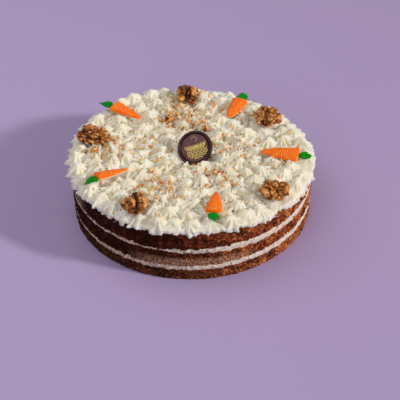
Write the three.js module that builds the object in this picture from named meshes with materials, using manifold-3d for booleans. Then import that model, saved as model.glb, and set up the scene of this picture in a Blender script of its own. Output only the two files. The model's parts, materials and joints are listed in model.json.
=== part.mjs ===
// Carrot cake, in millimetres: +Z up, origin at the centre of the bottom, -Y towards the front.
// Three rounds of sponge with two cream fillings, a top piped all over with cream stars, and on it
// walnut halves alternating with sugar carrots round a tilted chocolate disc.
import * as THREE from 'three';
import { mergeVertices } from 'three/addons/utils/BufferGeometryUtils.js';
import Module from 'manifold-3d';

const wasm = await Module();
wasm.setup();

// Driving dimensions.
const gap = 0.3; // left between neighbouring pieces
const spongeRadius = 119.2; // at the top
const spongeTop = 53.6;
const foot = { narrower: 1.9, forward: 2.8 }; // how the foot of the cake differs from its top
const layerSides = 48;
const edgeWander = 0.5; // how far a layer's edge strays from its radius

// A filling's thickness swells towards the side `fullest` points at, in degrees from +X.
const lowerFilling = { middle: 14.3, thickness: 4.7, swell: 1.6, fullest: -25 };
const upperFilling = { middle: 34.3, thickness: 4.5, swell: 2, fullest: -20 };
const fillingInset = 0.5; // from the sponge's side

// Piped cream: a spread base and rings of stars on it.
const creamBase = { radius: 120.6, thickness: 3.6 };
const star = { radius: 8.8, height: 12.6, lobes: 5, notch: 0.74, waistAt: 0.5, waist: 0.72 };
const uneven = { height: 0.1, radius: 0.03, twist: 0.35, lean: 1.2 }; // how much stars differ
const rim = { out: 112.7, radius: 9.6 }; // the outermost ring is wider and hangs over the sponge
const ringStep = 18.3;
const starPitch = 20; // between stars along a ring
const pressedTop = 62; // stars under a topping end here
const pressedMargin = 3; // how far round a topping they are pressed

// Toppings: turn and out place them round the cake, heading is the way their length points.
const walnutFloor = 61;
const walnutBelly = 0.32; // share of a walnut's height below its widest level
const walnuts = [
  { turn: 166.3, out: 100.5, length: 34, width: 28, height: 13.5, heading: 165, cleft: 0.25 },
  { turn: 91.9, out: 91.5, length: 26, width: 26.5, height: 14, heading: 88, cleft: 0.6 },
  { turn: 31.9, out: 91.5, length: 32.5, width: 27.5, height: 15, heading: 70, cleft: 0.25 },
  { turn: -41.7, out: 105, length: 31, width: 27.5, height: 15, heading: -62, cleft: 0.3 },
  { turn: -121.3, out: 101, length: 28.5, width: 26, height: 14, heading: -88, cleft: 0.6 },
];

const carrotAxis = 66.5; // height of a root's middle line at the shoulder
const carrotThickness = 7.5;
const leaf = { length: 12, width: 10, thickness: 4, fingers: 5, notch: 0.68, spread: 62 };
// heading points from the shoulder to the tip, pitch drops the tip, roll turns the flat face.
const carrots = [
  { turn: 137, out: 108.7, length: 36.4, width: 15.5, heading: -36, pitch: 3, roll: -4 },
  { turn: -153.6, out: 102.5, length: 34, width: 15.5, heading: 25, pitch: 2, roll: 14 },
  { turn: 57.5, out: 95.4, length: 30.5, width: 16.5, heading: -116, pitch: 3, roll: 0 },
  { turn: -8.3, out: 105.8, length: 37.7, width: 17, heading: 166, pitch: 2, roll: 14 },
  { turn: -79, out: 104.2, length: 34.5, width: 16, heading: 84, pitch: 3.5, roll: 0 },
];

const disc = { radius: 17.5, thickness: 4.5, rimWidth: 2, recess: 0.9, chamfer: 0.5 };
const discSides = 22;
const discTilt = { elevation: 48, azimuth: -112 }; // which way its face looks
const discFace = new THREE.Vector3(3, -4.5, 70); // centre of its front face

const chunkFloor = 60.5;
const chunks = [
  { turn: 113.8, out: 56.3, size: [9, 8, 9] },
  { turn: 179.1, out: 95, size: [7, 9, 8] },
  { turn: -59.2, out: 44.2, size: [8, 7, 8] },
  { turn: 68.5, out: 37.8, size: [8, 6, 7.5] },
];

const finish = {
  sponge: { color: 0x6a3218, roughness: 0.95 },
  cream: { color: 0xe9ddc6, roughness: 0.45 },
  filling: { color: 0xe2d5c8, roughness: 0.5 },
  walnut: { color: 0xa8703c, roughness: 0.6 },
  root: { color: 0xf2761e, roughness: 0.5 },
  leaf: { color: 0x1c8f2a, roughness: 0.5 },
  chocolate: { color: 0x3a1e1c, roughness: 0.35 },
};

const radians = THREE.MathUtils.degToRad;
const cake = new THREE.Group();

// A repeatable stray value from -1 to 1 for each whole number.
function stray(index) {
  const value = Math.sin(index * 127.1 + 11.7) * 43758.5453;
  return 2 * (value - Math.floor(value)) - 1;
}

function bareGeometry(geometry) {
  const bare = geometry.clone();
  bare.deleteAttribute('normal');
  bare.deleteAttribute('uv');
  return mergeVertices(bare, 1e-4);
}

// Moves each vertex of a geometry to where `place` puts it.
function reshape(geometry, place) {
  const bare = bareGeometry(geometry);
  const points = bare.attributes.position;
  const point = new THREE.Vector3();
  for (let i = 0; i < points.count; i += 1) {
    place(point.fromBufferAttribute(points, i));
    points.setXYZ(i, point.x, point.y, point.z);
  }
  return bare;
}

function addPiece(name, geometry, look, parent = cake) {
  const shown = geometry.toNonIndexed();
  shown.computeVertexNormals();
  const piece = new THREE.Mesh(shown, new THREE.MeshStandardMaterial({ ...look, metalness: 0 }));
  piece.name = name;
  parent.add(piece);
  return piece;
}

function toSolid(geometry) {
  const merged = bareGeometry(geometry);
  const vertProperties = new Float32Array(merged.attributes.position.array);
  const triVerts = new Uint32Array(merged.index.array);
  return new wasm.Manifold(new wasm.Mesh({ numProp: 3, vertProperties, triVerts }));
}

function toGeometry(solid) {
  const mesh = solid.getMesh();
  const geometry = new THREE.BufferGeometry();
  geometry.setAttribute('position', new THREE.BufferAttribute(mesh.vertProperties, 3));
  geometry.setIndex(new THREE.BufferAttribute(mesh.triVerts, 1));
  return geometry;
}

// Sponge and fillings.

function fillingSeam(filling, side) {
  return (angle) => {
    const swell = filling.swell * Math.cos(angle - radians(filling.fullest));
    return filling.middle + side * (filling.thickness + swell) / 2;
  };
}

function layerGeometry(radius, bottom, top, seed) {
  const drum = new THREE.CylinderGeometry(1, 1, 1, layerSides, 1).rotateX(Math.PI / 2);
  return reshape(drum, (point) => {
    const angle = Math.atan2(point.y, point.x);
    const wander = Math.sin(3 * angle + seed) + 0.6 * Math.sin(8 * angle + 2.3 * seed);
    const atRim = Math.hypot(point.x, point.y) > 0.5;
    const seam = point.z > 0 ? top : bottom;
    // The middle of a cap lies at the seam's mean height.
    point.z = atRim ? seam(angle) : (seam(0) + seam(Math.PI)) / 2;
    const low = Math.max(0, 1 - point.z / spongeTop); // 1 at the foot, 0 at the top
    const reach = radius - foot.narrower * low + edgeWander * wander;
    point.x *= reach;
    point.y = point.y * reach - foot.forward * low;
  });
}

function addLayers() {
  const seams = [
    fillingSeam(lowerFilling, -1),
    fillingSeam(lowerFilling, 1),
    fillingSeam(upperFilling, -1),
    fillingSeam(upperFilling, 1),
  ];
  const above = (seam) => (angle) => seam(angle) + gap / 2;
  const below = (seam) => (angle) => seam(angle) - gap / 2;
  const level = (height) => () => height;
  const layers = [
    ['sponge_bottom', level(0), below(seams[0]), finish.sponge],
    ['cream_lower', above(seams[0]), below(seams[1]), finish.filling],
    ['sponge_middle', above(seams[1]), below(seams[2]), finish.sponge],
    ['cream_upper', above(seams[2]), below(seams[3]), finish.filling],
    ['sponge_top', above(seams[3]), level(spongeTop), finish.sponge],
  ];
  layers.forEach(([name, bottom, top, look], index) => {
    const radius = spongeRadius - (look === finish.filling ? fillingInset : 0);
    addPiece(name, layerGeometry(radius, bottom, top, 1.7 * index), look);
  });
}

// Toppings. Each maker takes how much the shape is grown, so that its seat in the cream can be cut.

function walnutGeometry(walnut, grow) {
  // Twelve sides put a row of points along the top, where the cleft runs.
  const ball = new THREE.SphereGeometry(1, 12, grow ? 5 : 8).rotateZ(Math.PI / 2);
  const cleftWidth = 0.2;
  const foldDepth = 0.06;
  return reshape(ball, (point) => {
    const { x, y, z } = point;
    // Two lobes split by a cleft along the length, each with brain-like folds.
    const cleft = walnut.cleft * Math.exp(-((y / cleftWidth) ** 2)) * Math.sqrt(Math.max(z, 0));
    const folds = foldDepth * Math.sin(9 * x + 4 * Math.abs(y)) * Math.cos(6 * z + 5 * x);
    const size = grow ? 1 : (1 + folds) * (1 - cleft);
    const heightShare = z > 0 ? 1 - walnutBelly : walnutBelly;
    point.x = x * size * (walnut.length / 2 + grow);
    point.y = y * size * (walnut.width / 2 + grow);
    point.z = z * size * (heightShare * walnut.height + grow);
  });
}

function rootGeometry(carrot, grow) {
  // From the tip to the shoulder: how far along, and the width there as a share of the widest.
  const outline = [
    [0, 0],
    [0.05, 0.2],
    [0.3, 0.55],
    [0.6, 0.84],
    [0.85, 1],
    [0.96, 0.92],
    [1, 0.66],
    [1, 0],
  ];
  const profile = outline.map(([along, share]) => {
    const reach = share === 0 ? 0 : (share * carrot.width) / 2 + grow;
    const end = along > 0.5 ? grow : -grow;
    return new THREE.Vector2(reach, carrot.length * (along - 1) + end);
  });
  const flat = (carrotThickness / 2 + grow) / (carrot.width / 2 + grow);
  // Laid along -X, with the shoulder at 0 and the tip at -length.
  return new THREE.LatheGeometry(profile, 8).rotateZ(-Math.PI / 2).scale(1, 1, flat);
}

function leafGeometry(grow) {
  const outline = new THREE.Shape();
  const stem = 0.26 * leaf.width + grow;
  const start = grow ? -grow : gap;
  const points = 2 * leaf.fingers + 1;
  const flatten = leaf.width / leaf.length;
  outline.moveTo(start, -stem);
  for (let i = 0; i < points; i += 1) {
    const angle = radians(leaf.spread) * ((2 * i) / (points - 1) - 1);
    const finger = i % 2 === 0 || grow ? 1 : leaf.notch;
    const reach = (leaf.length * (0.55 + 0.45 * Math.cos(1.4 * angle)) + grow) * finger;
    outline.lineTo(start + reach * Math.cos(angle), reach * Math.sin(angle) * flatten);
  }
  outline.lineTo(start, stem);
  const depth = leaf.thickness + 2 * grow;
  return new THREE.ExtrudeGeometry(outline, { depth, bevelEnabled: false }).translate(0, 0, -depth / 2);
}

function discGeometry(grow) {
  const outer = disc.radius + grow;
  const inner = disc.radius - disc.rimWidth;
  const back = -disc.thickness - grow;
  const side = [
    [0, back],
    [outer - disc.chamfer, back],
    [outer, back + disc.chamfer],
    [outer, grow],
  ];
  const face = [
    [inner, 0],
    [inner - disc.chamfer, -disc.recess],
    [0, -disc.recess],
  ];
  const profile = [...side, ...(grow ? [[0, grow]] : face)].map(([r, z]) => new THREE.Vector2(r, z));
  return new THREE.LatheGeometry(profile, discSides).rotateX(Math.PI / 2);
}

function chunkGeometry(chunk, index, grow) {
  return reshape(new THREE.DodecahedronGeometry(1, 0), (point) => {
    const bump = 1 + 0.12 * (grow ? 1 : Math.sin(5 * point.x + 7 * point.y + 3 * index));
    point.set(...point.toArray().map((value, axis) => value * bump * (chunk.size[axis] / 2 + grow)));
  });
}

// A frame at the given turn and distance out, with +X pointing the way of `heading`.
function placed(turn, out, height, heading) {
  const place = new THREE.Group();
  place.position.set(out * Math.cos(radians(turn)), out * Math.sin(radians(turn)), height);
  place.rotation.z = radians(heading);
  cake.add(place);
  return place;
}

const seats = []; // grown copies of the toppings, in the cake's frame
const prints = []; // the outlines that press stars down: centre, way and half sizes

function addSeat(geometry, piece, half) {
  piece.updateWorldMatrix(true, false);
  seats.push(geometry.applyMatrix4(piece.matrixWorld));
  const middle = new THREE.Box3().setFromBufferAttribute(geometry.attributes.position);
  const centre = middle.getCenter(new THREE.Vector3());
  const way = new THREE.Vector3().setFromMatrixColumn(piece.matrixWorld, 0);
  prints.push({ centre, way: Math.atan2(way.y, way.x), half });
}

function addWalnuts() {
  walnuts.forEach((walnut, index) => {
    const height = walnutFloor + walnutBelly * walnut.height;
    const place = placed(walnut.turn, walnut.out, height, walnut.heading);
    const piece = addPiece(`walnut_${index + 1}`, walnutGeometry(walnut, 0), finish.walnut, place);
    addSeat(walnutGeometry(walnut, 1.2), piece, [walnut.length / 2, walnut.width / 2]);
  });
}

function addCarrots() {
  carrots.forEach((carrot, index) => {
    const place = placed(carrot.turn, carrot.out, carrotAxis, carrot.heading + 180);
    const lying = new THREE.Group();
    lying.rotation.set(radians(carrot.roll), -radians(carrot.pitch), 0);
    place.add(lying);
    const root = addPiece(`carrot_${index + 1}`, rootGeometry(carrot, 0), finish.root, lying);
    const tuft = addPiece(`carrot_leaf_${index + 1}`, leafGeometry(0), finish.leaf, lying);
    addSeat(rootGeometry(carrot, 0.5), root, [carrot.length / 2, carrot.width / 2]);
    addSeat(leafGeometry(0.5), tuft, [leaf.length / 2, leaf.width / 2]);
  });
}

function addDisc() {
  const place = new THREE.Group();
  place.position.copy(discFace);
  place.rotation.set(0, radians(90 - discTilt.elevation), radians(discTilt.azimuth), 'ZYX');
  cake.add(place);
  const piece = addPiece('chocolate_disc', discGeometry(0), finish.chocolate, place);
  addSeat(discGeometry(0.4), piece, [6, 14]);
}

function addChunks() {
  chunks.forEach((chunk, index) => {
    const place = placed(chunk.turn, chunk.out, chunkFloor + chunk.size[2] / 2, 40 * index);
    const geometry = chunkGeometry(chunk, index, 0);
    const piece = addPiece(`walnut_piece_${index + 1}`, geometry, finish.walnut, place);
    addSeat(chunkGeometry(chunk, index, 0.5), piece, [chunk.size[0] / 2, chunk.size[1] / 2]);
  });
}

// Piped cream.

function starGeometry({ radius, height, floor, twist, lean }) {
  const profile = [
    new THREE.Vector2(0, floor),
    new THREE.Vector2(radius, floor),
    new THREE.Vector2(radius * star.waist, floor + star.waistAt * (height - floor)),
    new THREE.Vector2(0, height),
  ];
  const lathe = new THREE.LatheGeometry(profile, 2 * star.lobes).rotateX(Math.PI / 2);
  return reshape(lathe, (point) => {
    const angle = Math.atan2(point.y, point.x);
    const onLobe = Math.cos(star.lobes * (angle + Math.PI / 2)) > 0; // the lathe starts at -Y
    const rise = (point.z - floor) / (height - floor);
    const reach = Math.hypot(point.x, point.y) * (onLobe ? 1 : star.notch);
    point.x = reach * Math.cos(angle + twist * rise) + lean.x * rise;
    point.y = reach * Math.sin(angle + twist * rise) + lean.y * rise;
  });
}

// How far the toppings press down a star that stands at x, y: 0 under one, 1 clear of all.
function clearOfToppings(x, y) {
  return prints.reduce((least, { centre, way, half }) => {
    const along = (x - centre.x) * Math.cos(way) + (y - centre.y) * Math.sin(way);
    const across = (y - centre.y) * Math.cos(way) - (x - centre.x) * Math.sin(way);
    const apart = Math.hypot(along / (half[0] + pressedMargin), across / (half[1] + pressedMargin));
    return Math.min(least, THREE.MathUtils.smoothstep(apart, 0.85, 1.25));
  }, 1);
}

function creamStars(floor) {
  const stars = [];
  for (let out = rim.out; out > 0; out -= ringStep) {
    const atRim = out === rim.out;
    const count = Math.max(1, Math.round((2 * Math.PI * out) / starPitch));
    for (let i = 0; i < count; i += 1) {
      const seed = stars.length;
      const turn = (2 * Math.PI * (i + 0.5 * stray(out))) / count;
      const [x, y] = [out * Math.cos(turn), out * Math.sin(turn)];
      const high = star.height * (1 - uneven.height * (1 - stray(seed)));
      const full = floor + creamBase.thickness + high;
      const body = starGeometry({
        radius: atRim ? rim.radius : star.radius * (1 - uneven.radius * (1 - stray(seed + 500))),
        height: THREE.MathUtils.lerp(pressedTop, full, clearOfToppings(x, y)),
        floor: atRim ? floor : floor + creamBase.thickness,
        twist: uneven.twist * stray(seed + 200),
        lean: { x: uneven.lean * stray(seed + 300), y: uneven.lean * stray(seed + 400) },
      });
      stars.push(body.rotateZ(turn).translate(x, y, 0));
    }
  }
  return stars;
}

function addCreamTop() {
  const floor = spongeTop + gap;
  const base = layerGeometry(creamBase.radius, () => floor, () => floor + creamBase.thickness, 4);
  const piped = creamStars(floor).reduce((whole, body) => whole.add(toSolid(body)), toSolid(base));
  const seated = seats.reduce((whole, seat) => whole.subtract(toSolid(seat)), piped);
  addPiece('cream_top', toGeometry(seated), finish.cream);
}

addLayers();
addWalnuts();
addCarrots();
addDisc();
addChunks();
addCreamTop();

export default cake;
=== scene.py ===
import json
import math
import random

import bmesh
import bpy
import numpy as np
from mathutils import Euler, Matrix, Vector, noise

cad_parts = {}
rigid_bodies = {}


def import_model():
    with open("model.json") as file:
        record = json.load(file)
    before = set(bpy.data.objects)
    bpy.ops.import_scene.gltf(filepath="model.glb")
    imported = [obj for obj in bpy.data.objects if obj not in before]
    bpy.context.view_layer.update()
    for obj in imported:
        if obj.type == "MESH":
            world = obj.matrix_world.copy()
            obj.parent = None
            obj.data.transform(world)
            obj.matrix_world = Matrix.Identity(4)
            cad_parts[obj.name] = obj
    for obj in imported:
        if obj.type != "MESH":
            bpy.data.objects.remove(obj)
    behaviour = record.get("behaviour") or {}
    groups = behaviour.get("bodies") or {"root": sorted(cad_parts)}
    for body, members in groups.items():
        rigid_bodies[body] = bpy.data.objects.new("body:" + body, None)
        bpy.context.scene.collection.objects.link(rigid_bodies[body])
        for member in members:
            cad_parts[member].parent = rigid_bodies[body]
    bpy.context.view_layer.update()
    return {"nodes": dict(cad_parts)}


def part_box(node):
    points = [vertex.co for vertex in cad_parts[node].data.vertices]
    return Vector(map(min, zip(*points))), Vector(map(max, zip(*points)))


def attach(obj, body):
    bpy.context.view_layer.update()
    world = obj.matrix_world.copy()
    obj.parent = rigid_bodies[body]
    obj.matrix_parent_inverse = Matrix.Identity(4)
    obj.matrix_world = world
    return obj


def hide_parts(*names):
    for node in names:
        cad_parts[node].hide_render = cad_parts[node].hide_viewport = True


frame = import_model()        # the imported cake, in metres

mm = 0.001
noise.seed_set(2)        # noise_vector is seeded by the clock until this is set


class Wire:
    # a socket that takes part in plain arithmetic
    def __init__(self, graph, socket):
        self.graph, self.socket = graph, socket

    def out(self, name):  # another output of the same node
        return Wire(self.graph, self.socket.node.outputs[name])

    def maths(self, operation, *values):
        return self.graph.add("ShaderNodeMath", dict(operation=operation), dict(enumerate(values)))

    def __add__(self, other):
        return self.maths("ADD", self, other)

    def __sub__(self, other):
        return self.maths("SUBTRACT", self, other)

    def __rsub__(self, other):
        return self.maths("SUBTRACT", other, self)

    def __mul__(self, other):
        return self.maths("MULTIPLY", self, other)

    def between(self, low, high):  # 0 below low, 1 above high, smooth in between
        step = dict(interpolation_type="SMOOTHSTEP")
        ends = {"Value": self, "From Min": low, "From Max": high}
        return self.graph.add("ShaderNodeMapRange", step, ends)


class Graph:
    # a node tree that is written as expressions
    def __init__(self, tree):
        self.tree = tree
        tree.nodes.clear()

    def add(self, kind, settings=None, inputs=None, output=0):
        node = self.tree.nodes.new(kind)
        for name, value in (settings or {}).items():
            if name == "stops":
                self.setStops(node.color_ramp, value)
            else:
                setattr(node, name, value)
        usable = [socket for socket in node.inputs if socket.enabled]
        for name, value in (inputs or {}).items():
            socket = usable[name] if isinstance(name, int) else next(s for s in usable if s.name == name)
            if isinstance(value, Wire):
                self.tree.links.new(value.socket, socket)
            else:
                socket.default_value = value
        outputs = [socket for socket in node.outputs if socket.enabled]
        return Wire(self, outputs[output]) if outputs else None

    def setStops(self, ramp, stops):
        while len(ramp.elements) > 1:
            ramp.elements.remove(ramp.elements[-1])
        for index, (place, colour) in enumerate(stops):
            element = ramp.elements[0] if index == 0 else ramp.elements.new(place)
            element.position = place
            element.color = (*colour, 1)

    def mix(self, amount, first, second):
        colours = [c if isinstance(c, Wire) else (*c, 1) for c in (first, second)]
        sides = {"Factor": amount, "A": colours[0], "B": colours[1]}
        return self.add("ShaderNodeMix", dict(data_type="RGBA"), sides)

    def noise(self, place, size, detail=2.0, rough=0.5):  # lumps of about `size` metres
        spread = {"Vector": place, "Scale": 1 / size, "Detail": detail, "Roughness": rough}
        return self.add("ShaderNodeTexNoise", None, spread)

    def attribute(self, name):  # a number that the mesh carries at its points
        return self.add("ShaderNodeAttribute", dict(attribute_name=name), output=2)

    def ramp(self, value, *stops):
        return self.add("ShaderNodeValToRGB", dict(stops=stops), {"Fac": value})

    def feed(self, shader, **wires):
        for name, wire in wires.items():
            self.tree.links.new(wire.socket, shader.inputs[name.replace("_", " ")])


def newMaterial(name, **sockets):
    material = bpy.data.materials.new(name)
    material.use_nodes = True
    graph = Graph(material.node_tree)
    shader = graph.tree.nodes.new("ShaderNodeBsdfPrincipled")
    finish = graph.tree.nodes.new("ShaderNodeOutputMaterial")
    graph.tree.links.new(shader.outputs["BSDF"], finish.inputs["Surface"])
    for key, value in sockets.items():
        shader.inputs[key.replace("_", " ").title().replace("Ior", "IOR")].default_value = value
    return material, graph, shader


def makeMesh(name, points, faces):
    mesh = bpy.data.meshes.new(name)
    mesh.from_pydata([tuple(point) for point in points], [], faces)
    mesh.polygons.foreach_set("use_smooth", [True] * len(mesh.polygons))
    mesh.update()
    return mesh


def setAttribute(mesh, name, values):
    layer = mesh.attributes.new(name, "FLOAT", "POINT")
    layer.data.foreach_set("value", np.array(values, np.float32))


def gridFaces(rows, across, closed, first=0):
    # faces of rows of points; a closed grid joins the end of each row to its start
    faces = []
    for row in range(rows - 1):
        low, high = first + row * across, first + (row + 1) * across
        for side in range(across if closed else across - 1):
            after = (side + 1) % across
            faces.append((low + side, low + after, high + after, high + side))
    return faces


def ringFaces(rows, around):
    # faces of a closed skin: a bottom point, `rows` rings of `around` points going up, a top point
    faces = gridFaces(rows, around, True, first=1)
    top = 1 + rows * around
    for side in range(around):
        after = (side + 1) % around
        faces.append((0, 1 + after, 1 + side))
        faces.append((top - around + side, top - around + after, top))
    return faces


def camel(node):
    first, *rest = node.split("_")
    return first + "".join(word.title() for word in rest)


def addPiece(name, mesh, material, slotName, *nodes):
    piece = bpy.data.objects.new(name, mesh)
    bpy.context.scene.collection.objects.link(piece)
    mesh.materials.clear()
    mesh.materials.append(material)
    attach(piece, "root")
    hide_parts(*nodes)
    return piece


def stray(index):
    # the same repeatable value from -1 to 1 that places the CAD model's stars
    value = math.sin(index * 127.1 + 11.7) * 43758.5453
    return 2 * (value - math.floor(value)) - 1


def fractal(point, size, octaves=3):
    # lumps of about `size` metres with finer ones on them
    increment, lacunarity = 0.6, 2.0
    return noise.fractal(Vector(point) / size, increment, lacunarity, octaves)


def smoothStep(value, low, high):
    share = min(max((value - low) / (high - low), 0), 1)
    return share * share * (3 - 2 * share)


def span(value, start, full, fading, end):
    # 1 from full to fading, 0 before start and after end, smooth in between
    return smoothStep(value, start, full) * (1 - smoothStep(value, fading, end))


def signedTurn(angle):
    # degrees from -180 to 180
    return (math.degrees(angle) + 180) % 360 - 180


def polar(turn, out, height=0.0):
    angle = math.radians(turn)
    return Vector((out * math.cos(angle), out * math.sin(angle), height))


def turnedBy(x=0, y=0, z=0):
    # the rotation by some degrees about an axis
    return Euler([math.radians(degrees) for degrees in (x, y, z)]).to_matrix()


def evaluated(source, name):
    # the plain mesh that an object's modifiers make
    bpy.context.view_layer.update()
    graph = bpy.context.evaluated_depsgraph_get()
    mesh = bpy.data.meshes.new_from_object(source.evaluated_get(graph), depsgraph=graph)
    mesh.name = name
    return mesh


def runTree(source, tree, finish=None, **inputs):
    # puts a node tree on an object, sets its named inputs and returns the mesh that it makes
    bpy.context.scene.collection.objects.link(source)
    modifier = source.modifiers.new("nodes", "NODES")
    modifier.node_group = tree
    for item in tree.interface.items_tree:
        if item.in_out == "INPUT" and item.name in inputs:
            modifier[item.identifier] = inputs[item.name]
    if finish:
        finish(source)
    mesh = evaluated(source, source.name)
    bpy.data.objects.remove(source)
    return mesh


def newTree(name, **inputs):
    # a geometry tree with named inputs; returns its graph and its group input
    tree = bpy.data.node_groups.new(name, "GeometryNodeTree")
    tree.interface.new_socket("Geometry", in_out="OUTPUT", socket_type="NodeSocketGeometry")
    tree.interface.new_socket("Geometry", in_out="INPUT", socket_type="NodeSocketGeometry")
    for label, value in inputs.items():
        if isinstance(value, str):
            tree.interface.new_socket(label, in_out="INPUT", socket_type="NodeSocket" + value)
        else:
            kind = "NodeSocketInt" if isinstance(value, int) else "NodeSocketFloat"
            tree.interface.new_socket(label, in_out="INPUT", socket_type=kind).default_value = value
    graph = Graph(tree)
    return tree, graph, graph.add("NodeGroupInput")


# camera, light and floor

cameraSettings = dict(
    target=(7.74 * mm, 0.81 * mm, 0),
    distance=1.4749,
    elevation=38.51,
    roll=-0.86,
    lens=131.2,
    clip=(0.05, 20),
)
# turn and lift in degrees; away and size in metres
lightSettings = dict(
    key=dict(turn=-18.8, lift=28, away=6.0, size=0.6, power=264, colour=(1, 0.95, 0.88)),
    top=dict(turn=150, lift=62, away=1.2, size=1.2, power=5.6, colour=(1, 0.97, 0.95)),
    front=dict(turn=-110, lift=35, away=1.6, size=1.0, power=4.2, colour=(1, 0.97, 0.95)),
    sky=dict(colour=(1, 0.94, 0.98), strength=0.185),
)
floorSettings = dict(side=6.0, colour=(0.44, 0.345, 0.60))


def addCamera(settings):
    lift = math.radians(settings["elevation"])
    back = Vector((0, -math.cos(lift), math.sin(lift)))
    camera = bpy.data.objects.new("camera", bpy.data.cameras.new("camera"))
    camera.data.lens = settings["lens"]
    camera.data.clip_start, camera.data.clip_end = settings["clip"]
    camera.location = Vector(settings["target"]) + settings["distance"] * back
    camera.rotation_euler = (math.pi / 2 - lift, 0, 0)
    camera.rotation_euler.rotate_axis("Z", math.radians(settings["roll"]))
    bpy.context.scene.collection.objects.link(camera)
    bpy.context.scene.camera = camera
    bpy.context.scene.view_settings.view_transform = "Standard"


def addLights(settings):
    for name in ("key", "top", "front"):
        lamp = settings[name]
        lift = math.radians(lamp["lift"])
        way = polar(lamp["turn"], math.cos(lift), math.sin(lift))
        light = bpy.data.objects.new(name, bpy.data.lights.new(name, "AREA"))
        light.data.energy = lamp["power"]
        light.data.size = lamp["size"]
        light.data.color = lamp["colour"]
        light.location = way * lamp["away"]
        light.rotation_euler = way.to_track_quat("Z", "Y").to_euler()
        bpy.context.scene.collection.objects.link(light)
    world = bpy.data.worlds.new("studio")
    world.use_nodes = True
    background = world.node_tree.nodes["Background"]
    background.inputs["Color"].default_value = (*settings["sky"]["colour"], 1)
    background.inputs["Strength"].default_value = settings["sky"]["strength"]
    bpy.context.scene.world = world


def addFloor(settings):
    material = newMaterial("floorPaint", roughness=0.75, base_color=(*settings["colour"], 1))[0]
    half = settings["side"] / 2
    corners = [(-half, -half, 0), (half, -half, 0), (half, half, 0), (-half, half, 0)]
    floor = bpy.data.objects.new("floor", makeMesh("floor", corners, [(0, 1, 2, 3)]))
    floor.data.materials.append(material)
    bpy.context.scene.collection.objects.link(floor)


# sponge and fillings

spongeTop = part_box("sponge_top")[1].z    # the height of the layers together
layerSettings = dict(
    around=1100,         # points round a side
    rowStep=0.65 * mm,   # between rows up a side
    insets=[60 * mm, 8 * mm, 2.5 * mm],  # rings on the flat faces, counted in from the side
    radius=119.2 * mm,   # of the sponge, at the top
    narrower=1.9 * mm,   # how much less it is at the foot
    forward=2.8 * mm,    # how far the foot has slid to the front
    cutIn=2.2 * mm,      # how far the cake is cut in at the back on the right
    crumb=1.15 * mm,     # depth of the open crumb
    bevel=0.5 * mm,      # rounding of a layer's edges
    overlap=1.2 * mm,    # how far a filling reaches behind the crumb
    rag=1.25 * mm,       # how ragged the seams are
    ragSize=5.5 * mm,
    # a torn lump at the top edge: where it is, how far it stands out and up, and how far below the
    # top it begins and is whole
    lump=dict(turn=-46.5, out=2.8 * mm, up=0.4 * mm, spread=3.0, begins=9 * mm, whole=5 * mm),
)
crumbSizes = dict(lumps=8 * mm, grain=2.0 * mm, pores=3.4 * mm)
# a filling's side: how far it lies behind the sponge's, swells in the middle and is rough
fillingSide = dict(inset=0.3 * mm, sunk=0.5 * mm, bulge=0.7 * mm, rough=0.7 * mm, roughSize=4 * mm)
# a filling's middle height and its thickness, in millimetres, at some turns round the cake
fillings = dict(
    cream_lower=dict(
        middle=[(-180, 13.9), (-95, 13.9), (-45, 15.2), (-15, 15.2), (50, 14.0)],
        thickness=[
            (-180, 3.0), (-150, 3.2), (-125, 4.4), (-95, 4.6), (-60, 5.6), (-35, 6.6), (10, 6.0), (60, 4.2),
        ],
    ),
    cream_upper=dict(
        middle=[(-180, 33.9), (-50, 33.9), (-15, 35.6), (20, 35.6), (80, 34.0)],
        thickness=[
            (-180, 3.0), (-150, 2.6), (-122, 2.6), (-111, 1.6), (-107, 0.2), (-103, 0.2), (-98, 3.2),
            (-88, 5.2), (-70, 6.0), (-45, 6.6), (-10, 6.4), (40, 5.4), (120, 4.0),
        ],
    ),
)


def roundValue(places, angle):
    # a value in metres at an angle, from a list of turns and millimetres
    turn = signedTurn(angle)
    wrapped = places + [(places[0][0] + 360, places[0][1])]
    for (low, before), (high, after) in zip(wrapped, wrapped[1:]):
        if low <= turn <= high:
            return mm * (before + (after - before) * smoothStep(turn, low, high))
    return mm * places[0][1]


def edgePlace(angle, seed):
    # where the noise along a seam or an edge is read
    return Vector((math.cos(angle), math.sin(angle), seed)) * 120 * mm


def seam(filling, side, seed):
    # the ragged height, round the cake, at which a filling meets the sponge
    def height(angle):
        rag = layerSettings["rag"] * fractal(edgePlace(angle, seed), layerSettings["ragSize"], 4)
        thickness = roundValue(filling["thickness"], angle)
        return roundValue(filling["middle"], angle) + side * (thickness / 2 - rag)
    return height


def cutIn(angle):
    # how far, from 0 to 1, the cake is cut in at the back on the right
    return span(signedTurn(angle), 2, 30, 66, 92)


def crumbDepth(x, y, z):
    # how far the cut side stands out (+) or is torn away (-), as a share of the crumb's depth
    place = Vector((x, y, z))
    lumps = fractal(place, crumbSizes["lumps"], 2)
    grain = fractal(place, crumbSizes["grain"], 3)
    nearest = noise.voronoi(place / crumbSizes["pores"])[0]
    pore = smoothStep(nearest[0], 0.42, 0.1)
    return 0.55 * lumps + 0.8 * grain - 0.9 * pore


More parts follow.
